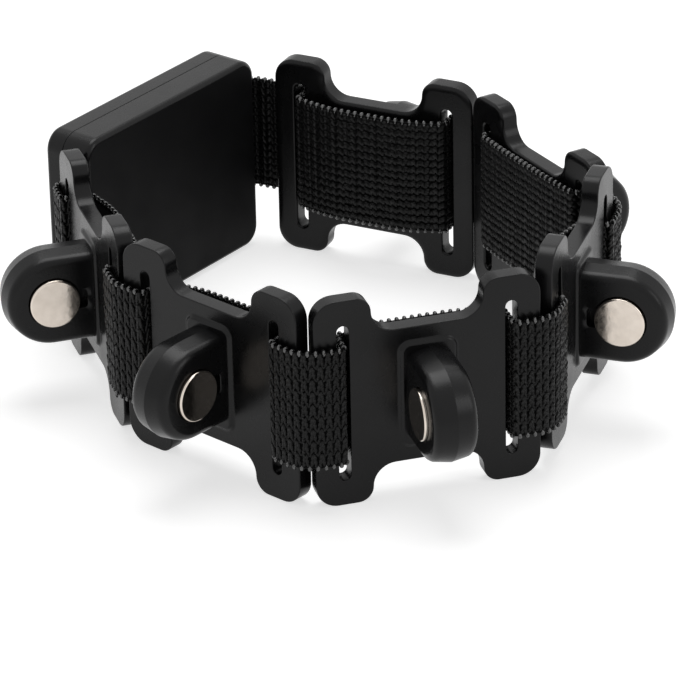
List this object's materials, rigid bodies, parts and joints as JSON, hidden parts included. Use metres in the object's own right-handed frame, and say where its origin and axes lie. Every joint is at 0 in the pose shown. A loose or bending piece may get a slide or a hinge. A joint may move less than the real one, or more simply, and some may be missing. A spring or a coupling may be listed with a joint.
{
  "type": "magnetic hair clip wristband",
  "caption": "Elastic wristband of black moulded link plates with round magnets in outward lugs and a flat case that holds a block magnet, for keeping hair clips at hand.",
  "frame": {"origin": "middle of the band's box, on the plane that its lower edge stands on", "axes": "+Z along the ring's axis, up; -Y out through the case; +X along the case"},
  "size_m": [0.078, 0.0766, 0.0267],
  "materials": {
    "black_plastic": "satin moulded black",
    "black_elastic": "knitted elastic webbing",
    "nickel": "bright nickel plate on a magnet"
  },
  "bodies": {
    "case": {"case_tray": "black_plastic", "case_cover": "black_plastic", "case_magnet": "nickel"},
    "span_1": {"strap_span_1": "black_elastic"},
    "link_1": {"link_plate_1": "black_plastic", "link_magnet_1": "nickel", "strap_run_1": "black_elastic"},
    "span_2": {"strap_span_2": "black_elastic"},
    "link_2": {"link_plate_2": "black_plastic", "link_magnet_2": "nickel", "strap_run_2": "black_elastic"},
    "span_3": {"strap_span_3": "black_elastic"},
    "link_3": {"link_plate_3": "black_plastic", "link_magnet_3": "nickel", "strap_run_3": "black_elastic"},
    "span_4": {"strap_span_4": "black_elastic"},
    "link_4": {"link_plate_4": "black_plastic", "link_magnet_4": "nickel", "strap_run_4": "black_elastic"},
    "span_5": {"strap_span_5": "black_elastic"},
    "link_5": {"link_plate_5": "black_plastic", "link_magnet_5": "nickel", "strap_run_5": "black_elastic"},
    "span_6": {"strap_span_6": "black_elastic"},
    "link_6": {"link_plate_6": "black_plastic", "link_magnet_6": "nickel", "strap_run_6": "black_elastic", "strap_tail": "black_elastic"}
  },
  "joints": [
    {"name": "stretch_1", "type": "slide", "parent": "case", "child": "span_1", "axis": [1, 0, 0], "range_m": [0, 0.004], "stiffness_N_per_m": 300, "deforming": ["strap_span_1"]},
    {"name": "fold_1", "type": "hinge", "parent": "span_1", "child": "link_1", "pos_m": [0.01187, -0.03493, 0.0127], "axis": [0, 0, 1], "range_deg": [-15, 15]},
    {"name": "stretch_2", "type": "slide", "parent": "link_1", "child": "span_2", "axis": [0.3413, 0.9399, 0], "range_m": [0, 0.00372], "stiffness_N_per_m": 300, "deforming": ["strap_span_2"]},
    {"name": "fold_2", "type": "hinge", "parent": "span_2", "child": "link_2", "pos_m": [0.02524, -0.0118, 0.0127], "axis": [0, 0, 1], "range_deg": [-10.55, 10.55]},
    {"name": "stretch_3", "type": "slide", "parent": "link_2", "child": "span_3", "axis": [-0.4207, 0.9072, 0], "range_m": [0, 0.00381], "stiffness_N_per_m": 300, "deforming": ["strap_span_3"]},
    {"name": "fold_3", "type": "hinge", "parent": "span_3", "child": "link_3", "pos_m": [0.02733, 0.01472, 0.0127], "axis": [0, 0, 1], "range_deg": [-7.46, 7.46]},
    {"name": "stretch_4", "type": "slide", "parent": "link_3", "child": "span_4", "axis": [-0.99, 0.1414, 0], "range_m": [0, 0.00415], "stiffness_N_per_m": 300, "deforming": ["strap_span_4"]},
    {"name": "fold_4", "type": "hinge", "parent": "span_4", "child": "link_4", "pos_m": [0.00574, 0.03025, 0.0127], "axis": [0, 0, 1], "range_deg": [-8.1, 8.1]},
    {"name": "stretch_5", "type": "slide", "parent": "link_4", "child": "span_5", "axis": [-0.7185, -0.6956, 0], "range_m": [0, 0.00443], "stiffness_N_per_m": 300, "deforming": ["strap_span_5"]},
    {"name": "fold_5", "type": "hinge", "parent": "span_5", "child": "link_5", "pos_m": [-0.01934, 0.02138, 0.0127], "axis": [0, 0, 1], "range_deg": [-10, 10]},
    {"name": "stretch_6", "type": "slide", "parent": "link_5", "child": "span_6", "axis": [-0.0823, -0.9966, 0], "range_m": [0, 0.00448], "stiffness_N_per_m": 300, "deforming": ["strap_span_6", "strap_tail"]},
    {"name": "fold_6", "type": "hinge", "parent": "span_6", "child": "link_6", "pos_m": [-0.02901, -0.0034, 0.0127], "axis": [0, 0, 1], "range_deg": [-15.1, 15.1]}
  ],
  "couplings": [
    {"joint": "stretch_2", "follows": "stretch_1", "ratio": 0.9307},
    {"joint": "stretch_3", "follows": "stretch_1", "ratio": 0.9535},
    {"joint": "stretch_4", "follows": "stretch_1", "ratio": 1.0385},
    {"joint": "stretch_5", "follows": "stretch_1", "ratio": 1.1083},
    {"joint": "stretch_6", "follows": "stretch_1", "ratio": 1.1195},
    {"joint": "fold_2", "follows": "fold_1", "ratio": -0.7023},
    {"joint": "fold_3", "follows": "fold_1", "ratio": -0.4966},
    {"joint": "fold_4", "follows": "fold_1", "ratio": 0.5393},
    {"joint": "fold_5", "follows": "fold_1", "ratio": 0.6656},
    {"joint": "fold_6", "follows": "fold_1", "ratio": -1.006}
  ]
}
